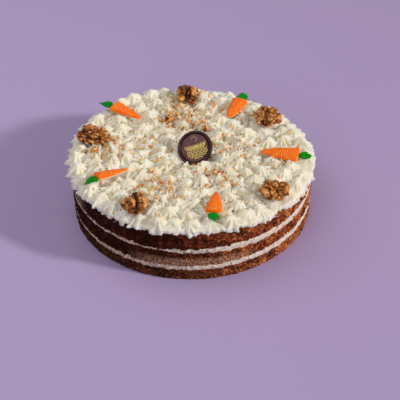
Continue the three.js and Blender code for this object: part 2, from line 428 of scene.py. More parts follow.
def layerMesh(name, radius, bottom, top, depth):
    # a round layer between two seams, on a side that narrows and slides forward towards the foot
    around, insets, bevel = (layerSettings[key] for key in ("around", "insets", "bevel"))
    hair = 0.01 * mm   # the least half height that an edge is rounded over
    angles = [2 * math.pi * side / around for side in range(around)]
    lows, highs = [bottom(a) for a in angles], [top(a) for a in angles]
    rows = max(6, round(max(h - l for h, l in zip(highs, lows)) / layerSettings["rowStep"]))

    def sidePoint(a, z, out):
        low = max(0, 1 - z / spongeTop)
        reach = out - layerSettings["narrower"] * low
        return (reach * math.cos(a), reach * math.sin(a) - layerSettings["forward"] * low, z)

    def flat(inset, heights):
        return [sidePoint(a, z, radius - inset) for a, z in zip(angles, heights)]

    points = [(0, 0, sum(lows) / around)]
    for inset in insets:
        points += flat(inset, lows)
    for row in range(rows + 1):
        rise = row / rows
        for a, low, high in zip(angles, lows, highs):
            z = low + rise * (high - low)
            x, y = radius * math.cos(a), radius * math.sin(a)
            edge = min(z - low, high - z) / min(bevel, max((high - low) / 2, hair))
            tuck = bevel * (1 - math.sqrt(max(0, 1 - (1 - min(edge, 1)) ** 2)))
            points.append(sidePoint(a, z, radius + depth(x, y, z, a, rise) - tuck))
    for inset in reversed(insets):
        points += flat(inset, highs)
    points.append((0, 0, sum(highs) / around))
    return makeMesh(name, points, ringFaces(rows + 1 + 2 * len(insets), around))


def addLayers(spongeLook, fillingLook):
    radius, cut, lump = (layerSettings[key] for key in ("radius", "cutIn", "lump"))
    overlap, side = layerSettings["overlap"], fillingSide
    lower, upper = fillings["cream_lower"], fillings["cream_upper"]
    seams = [seam(lower, -1, 1), seam(lower, 1, 2), seam(upper, -1, 3), seam(upper, 1, 4)]

    def lumpShare(angle):
        return math.exp(-((math.degrees(angle) - 360 - lump["turn"]) / lump["spread"]) ** 2)

    def spongeDepth(x, y, z, angle, rise):
        out = layerSettings["crumb"] * crumbDepth(x, y, z) - cut * cutIn(angle)
        begins, whole = spongeTop - lump["begins"], spongeTop - lump["whole"]
        if z > begins:
            out += lump["out"] * lumpShare(angle) * smoothStep(z, begins, whole)
        return out

    def fillingDepth(x, y, z, angle, rise):
        bulge = side["bulge"] * math.sin(math.pi * rise) - cut * cutIn(angle)
        return bulge - side["sunk"] + side["rough"] * fractal((x, y, z), side["roughSize"], 3)

    def topEdge(angle):
        ragged = 0.5 * mm * fractal(edgePlace(angle, 5), 4 * mm, 3)
        return spongeTop + ragged + lump["up"] * lumpShare(angle)

    sponges = [
        ("sponge_bottom", lambda a: 0, seams[0]),
        ("sponge_middle", seams[1], seams[2]),
        ("sponge_top", seams[3], topEdge),
    ]
    made = []
    for node, bottom, top in sponges:
        mesh = layerMesh(camel(node), radius, bottom, top, spongeDepth)
        made.append(addPiece(camel(node), mesh, spongeLook, "sponge", node))
    for index, node in enumerate(fillings):
        low, high = seams[2 * index], seams[2 * index + 1]
        bottom, top = (lambda a: low(a) - overlap), (lambda a: high(a) + overlap)
        mesh = layerMesh(camel(node), radius - side["inset"], bottom, top, fillingDepth)
        made.append(addPiece(camel(node), mesh, fillingLook, "filling", node))
    return made


# toppings: where they lie, as in the CAD model

walnutHeadings = dict(walnut_1=165, walnut_2=88, walnut_3=70, walnut_4=-62, walnut_5=-88)
carrotAxis = 66.5 * mm
carrotThickness = 7.5 * mm
carrots = [
    dict(turn=137, out=108.7, length=36.4, width=15.5, blunt=1.0, heading=-36, pitch=3, roll=-4),
    dict(turn=-153.6, out=102.5, length=34, width=15.5, blunt=1.0, heading=25, pitch=2, roll=14),
    dict(turn=57.5, out=95.4, length=30.5, width=16.5, blunt=0.62, heading=-116, pitch=3, roll=0),
    dict(turn=-8.3, out=105.8, length=37.7, width=17, blunt=0.8, heading=166, pitch=2, roll=14),
    dict(turn=-79, out=104.2, length=34.5, width=16, blunt=1.0, heading=84, pitch=3.5, roll=0),
]
discSettings = dict(
    radius=17.5 * mm,
    thickness=4.5 * mm,
    rim=2.9 * mm,
    recess=1.3 * mm,
    elevation=48,
    azimuth=-112,
    face=(3 * mm, -4.5 * mm, 70 * mm),   # middle of its front face
)
# gold leaves on the disc: a lens of crossed ones, and above it a fanned row
goldSettings = dict(
    turn=120,
    depth=0.75 * mm,     # below the disc's rim
    leafThickness=0.4 * mm,
    lens=dict(
        middle=(3.7 * mm, 3.8 * mm), half=(10.8 * mm, 6.2 * mm), pitch=1.9 * mm,
        leaf=(2.9 * mm, 0.75 * mm), lean=40, stray=0.35,
    ),
    fan=dict(
        middle=(-1.2 * mm, 0.4 * mm), reach=10.0 * mm, bow=0.4 * mm, count=14,
        leaf=(5.6 * mm, 0.8 * mm), spread=20,
    ),
)
# pale dots on the disc, in an arc above the gold
dotSettings = dict(
    count=8, start=60, step=34, middle=(-7.6 * mm, -3.2 * mm), reach=2.9 * mm,
    radius=0.5 * mm, depth=0.85 * mm,
)
# where toppings press the cream's stars down, and how high the stars may then be
printSettings = dict(
    pressed=61.8 * mm,
    walnutShare=0.95,    # of the walnut's own length and width
    leaf=dict(out=6 * mm, half=(6 * mm, 5 * mm)),
    disc=dict(ahead=9 * mm, turn=0.2, half=(13 * mm, 19 * mm), top=57.0 * mm),
    lowStars=[(83, 109, 62.5), (31, 108, 61.5)],   # turn, out and height of those behind two walnuts
    lowHalf=(7 * mm, 5 * mm),
    margin=1 * mm,
    fade=(0.7, 1.1),     # from wholly to not at all pressed, as shares of a print's size
)


def carrotFrame(carrot):
    # shoulder at the origin, tip along -X, leaves along +X
    lying = turnedBy(x=carrot["roll"]) @ turnedBy(y=-carrot["pitch"])
    turned = turnedBy(z=carrot["heading"] + 180) @ lying
    return Matrix.Translation(polar(carrot["turn"], carrot["out"] * mm, carrotAxis)) @ turned.to_4x4()


def discFrame():
    # face centre at the origin, looking along +Z
    turned = turnedBy(z=discSettings["azimuth"]) @ turnedBy(y=90 - discSettings["elevation"])
    return Matrix.Translation(discSettings["face"]) @ turned.to_4x4()


def toppingPrints(settings):
    # middle, way, half sizes and height of each print
    prints, pressed = [], settings["pressed"]
    for node, heading in walnutHeadings.items():
        low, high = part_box(node)
        half = (high - low) / 2
        sizes = [size * settings["walnutShare"] for size in (max(half.x, half.y), min(half.x, half.y))]
        prints.append(((low + high) / 2, math.radians(heading), *sizes, pressed))
    for carrot in carrots:
        place = carrotFrame(carrot)
        middle = place @ Vector((-carrot["length"] * mm / 2, 0, 0))
        way = math.radians(carrot["heading"])
        prints.append((middle, way, carrot["length"] * mm / 2, carrot["width"] * mm / 2, pressed))
        leaf = settings["leaf"]
        prints.append((place @ Vector((leaf["out"], 0, 0)), way, *leaf["half"], pressed))
    disc, way = settings["disc"], math.radians(discSettings["azimuth"])
    ahead = Vector((math.cos(way + disc["turn"]), math.sin(way + disc["turn"]), 0))
    prints.append((Vector(discSettings["face"]) + disc["ahead"] * ahead, way, *disc["half"], disc["top"]))
    for turn, out, height in settings["lowStars"]:
        prints.append((polar(turn, out * mm), 0, *settings["lowHalf"], height * mm))
    return prints


def pressedDown(x, y, peak, prints):
    # the peak of a star at x, y, once the toppings have sunk into the cream
    lowest, margin = peak, printSettings["margin"]
    for middle, way, halfLong, halfWide, height in prints:
        along = (x - middle.x) * math.cos(way) + (y - middle.y) * math.sin(way)
        across = (y - middle.y) * math.cos(way) - (x - middle.x) * math.sin(way)
        apart = math.hypot(along / (halfLong + margin), across / (halfWide + margin))
        lowest = min(lowest, height + (peak - height) * smoothStep(apart, *printSettings["fade"]))
    return lowest


# piped cream

starSettings = dict(
    kinds=12,
    flutes=(9, 10, 8, 11),
    perFlute=5,
    rings=17,
    # height and reach, from the foot to the tip
    profile=[
        (0, 1.0), (0.12, 1.02), (0.28, 0.94), (0.46, 0.78), (0.62, 0.59), (0.76, 0.4), (0.89, 0.21),
        (1, 0.06),
    ],
    groove=0.43,
    crest=1.9,                          # how sharp the backs of the flutes are
    petal=0.2,                          # how much a flute swells and shrinks on its way up
    rimOut=110.3 * mm,
    rimSize=(12.6 * mm, 13.4 * mm),     # outwards and along the rim
    innerSize=13.2 * mm,
    ringStep=15.7 * mm,
    pitch=17.0 * mm,
    top=66.6 * mm,                      # height of a usual peak
    uneven=1.7 * mm,
    fuse=0.56 * mm,                     # voxel size that melts the stars together
    triangles=190000,
)
# where the rim differs, in millimetres: how far its stars stand out, and how much lower their peaks are,
# where it hangs over, at the cut back right, on the left and at the back
rimSettings = dict(
    out=dict(hang=1.2, cut=3.6, left=1.8, back=0.4),
    sunk=dict(usual=0.9, cut=2.0, left=1.2, back=1.2, backStray=1.2),
)
# the cream that the stars stand on
creamBase = dict(
    radius=118.6 * mm,
    sunk=0.4 * mm,          # into the sponge
    thickness=4.2 * mm,
    teeth=58,               # pairs of teeth round its edge
    out=dict(teeth=0.8, hang=2.3, left=0.8, thin=4.6),
    thin=2.4 * mm,
    hang=2.8 * mm,
)
# what makes the cream uneven: how far each swirl pushes it, how fine it is (for each metre), and its detail
swirls = dict(
    Unevenness=(1.9 * mm, 110.0, 1.0),
    Ruffle=(1.2 * mm, 210.0, 0.0),
    Tearing=(0.55 * mm, 480.0, 2.0),
)
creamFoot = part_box("cream_top")[0].z
# small stars that lap over a topping's edge: turn, out, size and peak
tuckedStars = [
    (-61, 25.3, 9, 66), (-82, 27.5, 9, 63.5), (-15.5, 100, 8.5, 70.5), (-16.5, 87, 9, 69.5),
    (-5.5, 113.5, 7, 65.0),
]


def starMesh(kind, settings):
    # one star, 1 high and 1 in radius, standing on z = 0
    draw = random.Random(40 + kind)
    flutes = settings["flutes"][kind % len(settings["flutes"])]
    around = flutes * settings["perFlute"]
    twist = draw.uniform(-0.35, 0.8)
    curlWay, curl = draw.uniform(0, 2 * math.pi), draw.uniform(0.04, 0.3)
    hook = draw.uniform(0.0, 0.1)
    strength = [draw.uniform(0.5, 1.25) for _ in range(flutes)]
    shift = [draw.uniform(-0.2, 0.2) for _ in range(flutes)]
    reachOf = [draw.uniform(0.92, 1.08) for _ in range(flutes)]
    places, widths = zip(*settings["profile"])
    points = [(0, 0, -0.02)]
    rings, petal, crest = (settings[key] for key in ("rings", "petal", "crest"))
    for row in range(rings):
        rise = row / rings
        body = float(np.interp(rise, places, widths))
        for side in range(around):
            part = (side + 0.5) / settings["perFlute"]
            flute = int(part)
            across = part - flute            # 0 and 1 in the valleys, a half on the ridge
            ridge = 1 - abs(2 * across - 1)
            swell = petal * noise.noise(Vector((flute * 4.7, rise * 3.2, kind * 9.1))) * ridge
            deep = settings["groove"] * strength[flute] * smoothStep(rise, -0.25, 0.3)
            reach = (1 - deep * (1 - ridge ** crest)) * (1 + (reachOf[flute] - 1) * ridge + 2 * swell)
            angle = 2 * math.pi * (part + shift[flute] * ridge) / flutes + twist * rise ** 1.3
            out = body * reach
            lean = curl * rise ** 2 + hook * max(0, rise - 0.8) * 5
            points.append((
                out * math.cos(angle) + lean * math.cos(curlWay),
                out * math.sin(angle) + lean * math.sin(curlWay),
                rise - 0.04 * (1 - ridge) * (1 - rise),
            ))
    tip = curl + hook
    points.append((tip * math.cos(curlWay), tip * math.sin(curlWay), 0.985))
    return makeMesh(f"star{kind}", points, ringFaces(rings, around))


def oneStar(x, y, turn, foot, peak, size, index, lean=0.12):
    return dict(
        place=(x, y, foot),
        spin=(lean * stray(index + 300), lean * stray(index + 400), turn),
        size=(size[0], size[1], peak - foot),
        kind=int((stray(index + 77) + 1) / 2 * (starSettings["kinds"] - 0.01)),
    )


def rimHang(angle):
    # how far, from 0 to 1, the cream hangs over the sponge's edge: most on the right, but not at the
    # torn lump
    turn = signedTurn(angle)
    torn = math.exp(-((turn - layerSettings["lump"]["turn"]) / 3.5) ** 2)
    return span(turn, -72, -48, -5, 22) * (1 - torn)


def backDip(angle):
    # how far, from 0 to 1, the rim's stars are lower at the back
    return span(math.degrees(angle) % 360, 42, 56, 98, 110)


def thinned(angle):
    # how far, from 0 to 1, the cream under the rim's stars is thinner and narrower
    return max(cutIn(angle), 0.8 * backDip(angle))


def leftSpread(angle):
    # how far, from 0 to 1, the rim's stars stand out on the left
    return span(math.degrees(angle) % 360, 108, 135, 195, 220)


def starPoints(settings):
    # two lists of stars: those of the rim, and those inside it
    prints = toppingPrints(printSettings)
    rim, inner = [], []
    more, less = rimSettings["out"], rimSettings["sunk"]
    out, index = settings["rimOut"], 0
    while out > 0:
        atRim = out == settings["rimOut"]
        count = max(1, round(2 * math.pi * out / settings["pitch"]))
        for step in range(count):
            turn = 2 * math.pi * (step + 0.5 * stray(round(out / mm + 0.9 * atRim, 1))) / count
            turn += 0.12 * stray(index + 900) / max(1, out / (20 * mm))
            reach = out + 2.2 * mm * stray(index + 800) * (not atRim)
            hang = atRim * rimHang(turn)
            cut, left, back = cutIn(turn), leftSpread(turn), backDip(turn)
            reach += more["hang"] * mm * hang
            reach += atRim * (more["left"] * left - more["cut"] * cut - more["back"] * back) * mm
            x, y = reach * math.cos(turn), reach * math.sin(turn)
            foot = creamFoot - 0.7 * mm - 1.6 * mm * hang if atRim else creamFoot + 1.2 * mm
            sunk = less["usual"] + less["cut"] * cut - less["left"] * left
            sunk += back * (less["back"] + less["backStray"] * stray(index + 50))
            peak = settings["top"] - sunk * mm * atRim + settings["uneven"] * stray(index)
            peak = pressedDown(x, y, peak, prints)
            if atRim:
                slim = 1 - 0.33 * back - 0.08 * cut
                size = [slim * side for side in settings["rimSize"]]
                rim.append(oneStar(x, y, turn, foot, peak, size, index))
            else:
                wide = settings["innerSize"] * (1 + 0.12 * stray(index + 500))
                inner.append(oneStar(x, y, turn, foot, peak, (wide, wide), index, 0.3))
            index += 1
        out -= settings["ringStep"]
    for number, (turn, away, size, peak) in enumerate(tuckedStars):
        spot, wide = polar(turn, away * mm), size * mm
        foot = creamFoot + 3 * mm
        inner.append(oneStar(spot.x, spot.y, turn, foot, peak * mm, (wide, wide), 600 + number, 0.2))
    return rim, inner


def pointCloud(name, stars):
    mesh = bpy.data.meshes.new(name)
    mesh.from_pydata([star["place"] for star in stars], [], [])
    for key in ("size", "spin"):
        layer = mesh.attributes.new(key, "FLOAT_VECTOR", "POINT")
        layer.data.foreach_set("vector", np.array([star[key] for star in stars], np.float32).ravel())
    kinds = mesh.attributes.new("kind", "INT", "POINT")
    kinds.data.foreach_set("value", [star["kind"] for star in stars])
    return bpy.data.objects.new(name, mesh)


def starTree(material):
    pushes = {name: push for name, (push, _, _) in swirls.items()}
    tree, graph, given = newTree("pipeStars", Kinds="Collection", Base="Object", **pushes)

    def named(key, kind):
        return graph.add("GeometryNodeInputNamedAttribute", dict(data_type=kind), {"Name": key})

    kinds = graph.add("GeometryNodeCollectionInfo", None, {
        "Collection": given.out("Kinds"), "Separate Children": True, "Reset Children": True,
    })
    placed = graph.add("GeometryNodeInstanceOnPoints", None, {
        "Points": given.out("Geometry"),
        "Instance": kinds,
        "Pick Instance": True,
        "Instance Index": named("kind", "INT"),
        "Rotation": named("spin", "FLOAT_VECTOR"),
        "Scale": named("size", "FLOAT_VECTOR"),
    })
    real = graph.add("GeometryNodeRealizeInstances", None, {"Geometry": placed})
    base = graph.add("GeometryNodeObjectInfo", None, {"Object": given.out("Base")}).out("Geometry")
    moved = graph.add("GeometryNodeJoinGeometry", None, {"Geometry": real})
    graph.tree.links.new(base.socket, moved.socket.node.inputs["Geometry"])
    position = graph.add("GeometryNodeInputPosition")
    for name, (_, fineness, detail) in swirls.items():
        spread = {"Vector": position, "Scale": fineness, "Detail": detail}
        swirl = graph.add("ShaderNodeTexNoise", None, spread, output=1)
        sides = {0: swirl, 1: (0.5, 0.5, 0.5)}
        centred = graph.add("ShaderNodeVectorMath", dict(operation="SUBTRACT"), sides)
        pushed = {0: centred, "Scale": given.out(name) * 2}
        offset = graph.add("ShaderNodeVectorMath", dict(operation="SCALE"), pushed)
        moved = graph.add("GeometryNodeSetPosition", None, {"Geometry": moved, "Offset": offset})
    coated = graph.add("GeometryNodeSetMaterial", None, {"Geometry": moved, "Material": material})
    graph.add("NodeGroupOutput", None, {"Geometry": coated})
    return tree


def fuseStars(source):
    # melts stars and base into one skin, then thins its triangles where it is flat
    melt = source.modifiers.new("melt", "REMESH")
    melt.mode, melt.voxel_size, melt.use_smooth_shade = "VOXEL", starSettings["fuse"], True
    thin = source.modifiers.new("thin", "DECIMATE")
    thin.show_viewport = False
    bpy.context.view_layer.update()
    mesh = source.evaluated_get(bpy.context.evaluated_depsgraph_get()).to_mesh()
    mesh.calc_loop_triangles()
    count = len(mesh.loop_triangles)
    thin.show_viewport = True
    thin.ratio = min(1, starSettings["triangles"] / count)
    print("fused skin of", count, "triangles")


def addCream(look):
    settings = starSettings
    kinds = bpy.data.collections.new("starKinds")
    bpy.context.scene.collection.children.link(kinds)
    for kind in range(settings["kinds"]):
        kinds.objects.link(bpy.data.objects.new(f"star{kind}", starMesh(kind, settings)))
    base = bpy.data.objects.new("creamBase", creamBaseMesh())
    bpy.context.scene.collection.objects.link(base)
    rim, inner = starPoints(settings)
    mesh = runTree(pointCloud("creamTop", rim + inner), starTree(look), fuseStars, Kinds=kinds, Base=base)
    setAttribute(mesh, "dust", [heapShare(v.co.x, v.co.y) for v in mesh.vertices])
    print(len(rim) + len(inner), "stars,", len(mesh.polygons), "faces")
    for item in list(kinds.objects) + [base]:
        bpy.data.objects.remove(item)
    bpy.data.collections.remove(kinds)
    return [addPiece("creamTop", mesh, look, "cream", "cream_top")]


def creamBaseMesh():
    settings, more = creamBase, creamBase["out"]
    low = creamFoot - settings["sunk"]
    high = low + settings["thickness"]

    def edge(x, y, z, angle, rise):
        uneven = 1.2 * fractal((x, y, 0), 15 * mm, 2)
        tooth = abs((angle * settings["teeth"] / math.pi + uneven) % 1 * 2 - 1)
        hang = rimHang(angle)
        reach = more["teeth"] * mm * (0.5 - tooth) * (1 - hang)
        reach += (more["hang"] * hang + more["left"] * leftSpread(angle) - more["thin"] * thinned(angle)) * mm
        return reach + 0.6 * mm * fractal((x, y, z), 4 * mm, 3)

    def foot(angle):
        return low - settings["hang"] * rimHang(angle)

    def top(angle):
        return high - settings["thin"] * thinned(angle)

    return layerMesh("creamBase", settings["radius"], foot, top, edge)


# walnuts

walnutSettings = dict(
    detail=5,
    belly=0.3,           # share of the height below the widest level
    foldDepth=3.8 * mm,
    knobs=0.95 * mm,     # depth of the small knobs on the folds
    lumps=3.8 * mm,
    cleft=5 * mm,        # depth of a whole cleft
    brokenDetail=4,      # of the broken bits
    brokenFold=4.2 * mm,
    # cleft: depth and width of the gap between the lobes, and how far it lies off the middle;
    # fin: half the way between two such gaps, with a thin wall left standing between them
    kinds=dict(
        walnut_1=dict(
            cleft=(0.4, 0.1, 0.0), stretch=(0.6, 1.0),
            seed=3, foldSize=4.6 * mm, deep=0.95, raised=0.2 * mm,
        ),
        walnut_2=dict(
            cleft=(1.0, 0.085, 0.0), fin=0.15, stretch=(0.35, 1.0),
            seed=7, foldSize=9 * mm, deep=0.6, raised=2.8 * mm,
        ),
        walnut_3=dict(
            cleft=(0.4, 0.14, 0.1), stretch=(0.7, 1.1),
            seed=12, foldSize=5.4 * mm, deep=1.2, raised=2.4 * mm,
        ),
        walnut_4=dict(
            cleft=(0.3, 0.12, 0.25), stretch=(0.34, 1.0),
            seed=21, foldSize=4.6 * mm, deep=1.0, raised=0.8 * mm,
        ),
        walnut_5=dict(
            cleft=(1.1, 0.13, 0.06), stretch=(0.7, 1.0),
            seed=33, foldSize=5.0 * mm, deep=0.95, raised=0.6 * mm,
        ),
    ),
)


def ballPoints(detail):
    ball = bmesh.new()
    bmesh.ops.create_icosphere(ball, subdivisions=detail, radius=1)
    points = [v.co.copy() for v in ball.verts]
    faces = [tuple(v.index for v in face.verts) for face in ball.faces]
    ball.free()
    return points, faces


def arch(share):
    # the round back of a fold, from 0 in its crevice to 1 on top
    return math.sqrt(max(0, 1 - (1 - min(share, 1)) ** 2))


def foldAt(place, kind):
    # 0 in a crevice, 1 on the back of a fold
    stretched = Vector((place.x * kind["stretch"][0], place.y * kind["stretch"][1], place.z))
    spot = stretched / kind["foldSize"] + Vector((kind["seed"] * 7.3, kind["seed"] * 3.1, 0))
    warp = noise.noise_vector(spot * 0.8)
    wide = abs(noise.noise(spot + 0.8 * warp))
    fine = abs(noise.noise(spot * 2.2 + 1.1 * warp))
    return arch(wide / 0.4) ** 1.5 * (0.72 + 0.28 * arch(fine / 0.36))


def addWalnuts(look):
    settings = walnutSettings
    ball, faces = ballPoints(settings["detail"])
    for node, heading in walnutHeadings.items():
        kind = settings["kinds"][node]
        low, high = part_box(node)
        middle = (low + high) / 2
        turned = Matrix.Rotation(math.radians(heading), 3, "Z")
        corners = [turned.transposed() @ (v.co - middle) for v in frame["nodes"][node].data.vertices]
        sides = [max(abs(corner[axis]) for corner in corners) for axis in (0, 1)]
        half = Vector((*sides, high.z - low.z))
        floor = low.z + half.z * settings["belly"] + kind["raised"]
        points, folds = [], []
        for spot in ball:
            upper = spot.z > 0
            share = 1 - settings["belly"] if upper else settings["belly"]
            place = Vector((spot.x * half.x, spot.y * half.y, spot.z * half.z * share))
            fold = foldAt(place, kind)
            gap, gapWidth, aside = kind["cleft"]
            away = abs(spot.y - aside - 0.08 * math.sin(4 * spot.x)) - kind.get("fin", 0)
            cleft = gap * math.exp(-(away / gapWidth) ** 2)
            cleft *= smoothStep(spot.z, -0.2, 0.5) + 0.5 * (abs(spot.x) > 0.8)
            lumps = settings["lumps"] * fractal(place + Vector((kind["seed"], 0, 0)), 9 * mm, 2)
            way = Vector((place.x / half.x ** 2, place.y / half.y ** 2, place.z / half.z ** 2)).normalized()
            shallow = 0.5 + 0.5 * smoothStep(spot.z, -0.6, 0.1)
            depth = settings["foldDepth"] * kind["deep"] * (1 - fold) * shallow
            knob = arch(abs(noise.noise(place / (3.3 * mm) + Vector((kind["seed"], 9, 0)))) / 0.35)
            depth += settings["knobs"] * (1 - knob)
            moved = place + way * (lumps - depth - settings["cleft"] * min(cleft, 1) * max(0.35, spot.z))
            # kept for the colour: lower in the knobs' hollows and in the cleft between the lobes, as painted
            # shade
            folds.append(fold * (0.6 + 0.4 * knob) * (1 - 0.9 * min(cleft, 1)))
            points.append(turned @ moved + Vector((middle.x, middle.y, floor)))
        mesh = makeMesh(camel(node), points, faces)
        setAttribute(mesh, "fold", folds)
        addPiece(camel(node), mesh, look, "walnut", node)


def addWalnutPieces(look):
    settings = walnutSettings
    ball, faces = ballPoints(settings["brokenDetail"])
    for number in range(1, 5):
        node = f"walnut_piece_{number}"
        low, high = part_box(node)
        middle, half = (low + high) / 2, (high - low) / 2
        kind = dict(stretch=(1, 1), seed=50 + number, foldSize=settings["brokenFold"])
        points, folds = [], []
        for spot in ball:
            place = Vector([spot[axis] * half[axis] for axis in range(3)])
            fold = foldAt(place, kind)
            broken = 1 + 0.3 * noise.noise(spot * 1.3 + Vector((number * 5.1, 0, 0)))
            points.append(middle + place * broken * (0.8 + 0.2 * fold))
            folds.append(fold)
        mesh = makeMesh(camel(node), points, faces)
        setAttribute(mesh, "fold", folds)
        addPiece(camel(node), mesh, look, "walnut", node)


# sugar carrots

carrotSettings = dict(
    around=64,
    rows=90,
    # place from the tip to the shoulder, and share of the width
    outline=[
        (0, 0), (0.02, 0.12), (0.06, 0.24), (0.3, 0.57), (0.6, 0.83), (0.82, 0.96), (0.93, 1), (0.98, 0.9),
        (1, 0.62),
    ],
    ribStep=2.4 * mm,
    ribDepth=0.22 * mm,
)
leafSettings = dict(detail=3, length=12 * mm, fingerWidth=4.4 * mm, thickness=3.4 * mm)
# the fingers of each tuft: which way they point, in degrees from the root's line, and how long they are
leafShapes = [
    dict(seed=1, droop=0.4 * mm, fingers=[(-10, 0.85), (4, 1.05), (15, 1.36), (32, 0.9), (52, 0.62)]),
    dict(seed=2, droop=2.2 * mm, fingers=[(-8, 0.8), (6, 1.0), (16, 1.25), (32, 1.0), (50, 0.85), (72, 0.7)]),
    dict(seed=3, droop=-0.6 * mm, fingers=[(-26, 0.84), (-10, 0.98), (6, 1.04), (20, 1.06), (36, 0.84)]),
    dict(seed=4, droop=0.4 * mm, fingers=[(-20, 0.84), (-8, 1.06), (3, 1.16), (14, 1.04), (28, 0.84)]),
    dict(
        seed=5, droop=2.6 * mm,
        fingers=[(-44, 0.6), (-24, 0.74), (-4, 0.84), (12, 1.02), (32, 0.8), (54, 0.6)],
    ),
]


def rootMesh(name, carrot, settings, seed):
    length = carrot["length"] * mm
    places, widths = zip(*settings["outline"])
    around, rows = settings["around"], settings["rows"]
    flat = carrotThickness / (carrot["width"] * mm)
    place = carrotFrame(carrot)
    points, ribs, upward = [place @ Vector((-length, 0, 0))], [0.0], [0.0]
    for row in range(1, rows + 1):
        share = (row - 0.5) / rows
        reach = float(np.interp(share, places, widths)) ** carrot["blunt"] * carrot["width"] * mm / 2
        x = length * (share - 1)
        for side in range(around):
            angle = 2 * math.pi * side / around
            wobble = 0.35 * noise.noise(Vector((x / (6 * mm), math.cos(angle), seed)))
            rib = math.sin(2 * math.pi * (x / settings["ribStep"] + wobble + 0.15 * math.cos(angle)))
            out = reach + settings["ribDepth"] * rib * min(1, reach / (3 * mm))
            y = out * math.cos(angle)
            z = out * math.copysign(abs(math.sin(angle)) ** 0.85, math.sin(angle)) * flat
            points.append(place @ Vector((x, y, z)))
            ribs.append(rib)
            upward.append(z / (carrotThickness / 2))
    points.append(place @ Vector((0, 0, 0)))
    mesh = makeMesh(name, points, ringFaces(rows, around))
    setAttribute(mesh, "rib", ribs + [0.0])
    setAttribute(mesh, "upward", upward + [0.0])
    return mesh


def leafMesh(name, carrot, shape, settings):
    # a tuft of pointed fingers fanned out from the stem, the later ones lying over the first
    draw = random.Random(shape["seed"] * 17)
    ball, faces = ballPoints(settings["detail"])
    place = carrotFrame(carrot)
    points, creases, allFaces = [], [], []
    for finger, (way, reach) in enumerate(shape["fingers"]):
        length = settings["length"] * reach
        width = settings["fingerWidth"] * draw.uniform(0.85, 1.2)
        height = settings["thickness"] * draw.uniform(0.75, 1.0) / 2
        lift = draw.uniform(-0.2, 0.6) * mm
        turned = Matrix.Rotation(math.radians(way), 3, "Z")
        start = len(points)
        for spot in ball:
            taper = 1 - 0.75 * max(0, spot.x) ** 1.5 - 0.3 * max(0, -spot.x) ** 2
            seed = Vector((finger * 3.1, shape["seed"] * 5.7, 0))
            ragged = 1 + 0.35 * noise.noise(spot * 1.7 + seed)
            crease = min(1, abs(noise.noise(Vector((spot.x * 1.6, spot.y * 2.8, spot.z)) + seed)) / 0.25)
            x = (0.5 + 0.5 * spot.x) * length
            y = spot.y * width / 2 * taper * ragged
            sunk = shape["droop"] * (x / settings["length"]) ** 1.6
            z = spot.z * height * taper * (0.7 + 0.3 * crease) * ragged + lift - sunk
            points.append(place @ (turned @ Vector((x, y, z))))
            # kept for the colour: lower in the creases and towards each finger's underside, as painted shade
            creases.append(crease * (0.6 + 0.4 * spot.z))
        allFaces.extend(tuple(start + corner for corner in face) for face in faces)
    mesh = makeMesh(name, points, allFaces)
    setAttribute(mesh, "crease", creases)
    return mesh


def addCarrots(rootLook, leafLook):
    for index, (carrot, shape) in enumerate(zip(carrots, leafShapes)):
        root, leaf = f"carrot_{index + 1}", f"carrot_leaf_{index + 1}"
        mesh = rootMesh(camel(root), carrot, carrotSettings, index)
        addPiece(camel(root), mesh, rootLook, "sugar_orange", root)
        mesh = leafMesh(camel(leaf), carrot, shape, leafSettings)
        addPiece(camel(leaf), mesh, leafLook, "sugar_green", leaf)


# chocolate disc

def discMesh(settings):
    place = discFrame()
    radius, thickness, rim, recess = (settings[key] for key in ("radius", "thickness", "rim", "recess"))
    # from the back over the rounded rim, down into the groove inside it and up to the face
    profile = [
        (0.55 * radius, -thickness),
        (radius - 0.8 * mm, -thickness),
        (radius - 0.25 * mm, -thickness + 0.25 * mm),
        (radius, -thickness + 0.9 * mm),
        (radius, -1.2 * mm),
        (radius - 0.25 * mm, -0.5 * mm),
        (radius - 0.8 * mm, -0.1 * mm),
        (radius - 1.4 * mm, 0),
        (radius - 2.0 * mm, -0.15 * mm),
        (radius - rim + 0.2 * mm, -0.7 * mm),
        (radius - rim, -recess - 0.3 * mm),
        (radius - rim - 0.5 * mm, -recess - 0.5 * mm),
        (radius - rim - 1.0 * mm, -recess),
        (radius - rim - 1.9 * mm, -recess + 0.15 * mm),
        (0.5 * radius, -recess + 0.3 * mm),
    ]
    around = 96
    points, edge = [place @ Vector((0, 0, -thickness))], [0.0]
    for out, z in profile:
        for side in range(around):
            angle = 2 * math.pi * side / around
            wave = 0.12 * mm * noise.noise(Vector((math.cos(angle) * 3, math.sin(angle) * 3, z / (2 * mm))))
            reach = out + wave
            points.append(place @ Vector((reach * math.cos(angle), reach * math.sin(angle), z + wave)))
            # a thin ring along the rim's crest takes the face's lighter colour: a painted highlight; the rest
            # of the rim is dark
            glintRing = radius - 1.9 * mm < out < radius - 0.9 * mm
            edge.append(0.05 if glintRing else 1.0 if out > radius - rim - 0.7 * mm else 0.0)
    points.append(place @ Vector((0, 0, -recess + 0.3 * mm)))
    edge.append(0.0)
    mesh = makeMesh("chocolateDisc", points, ringFaces(len(profile), around))
    setAttribute(mesh, "rim", edge)
    return mesh


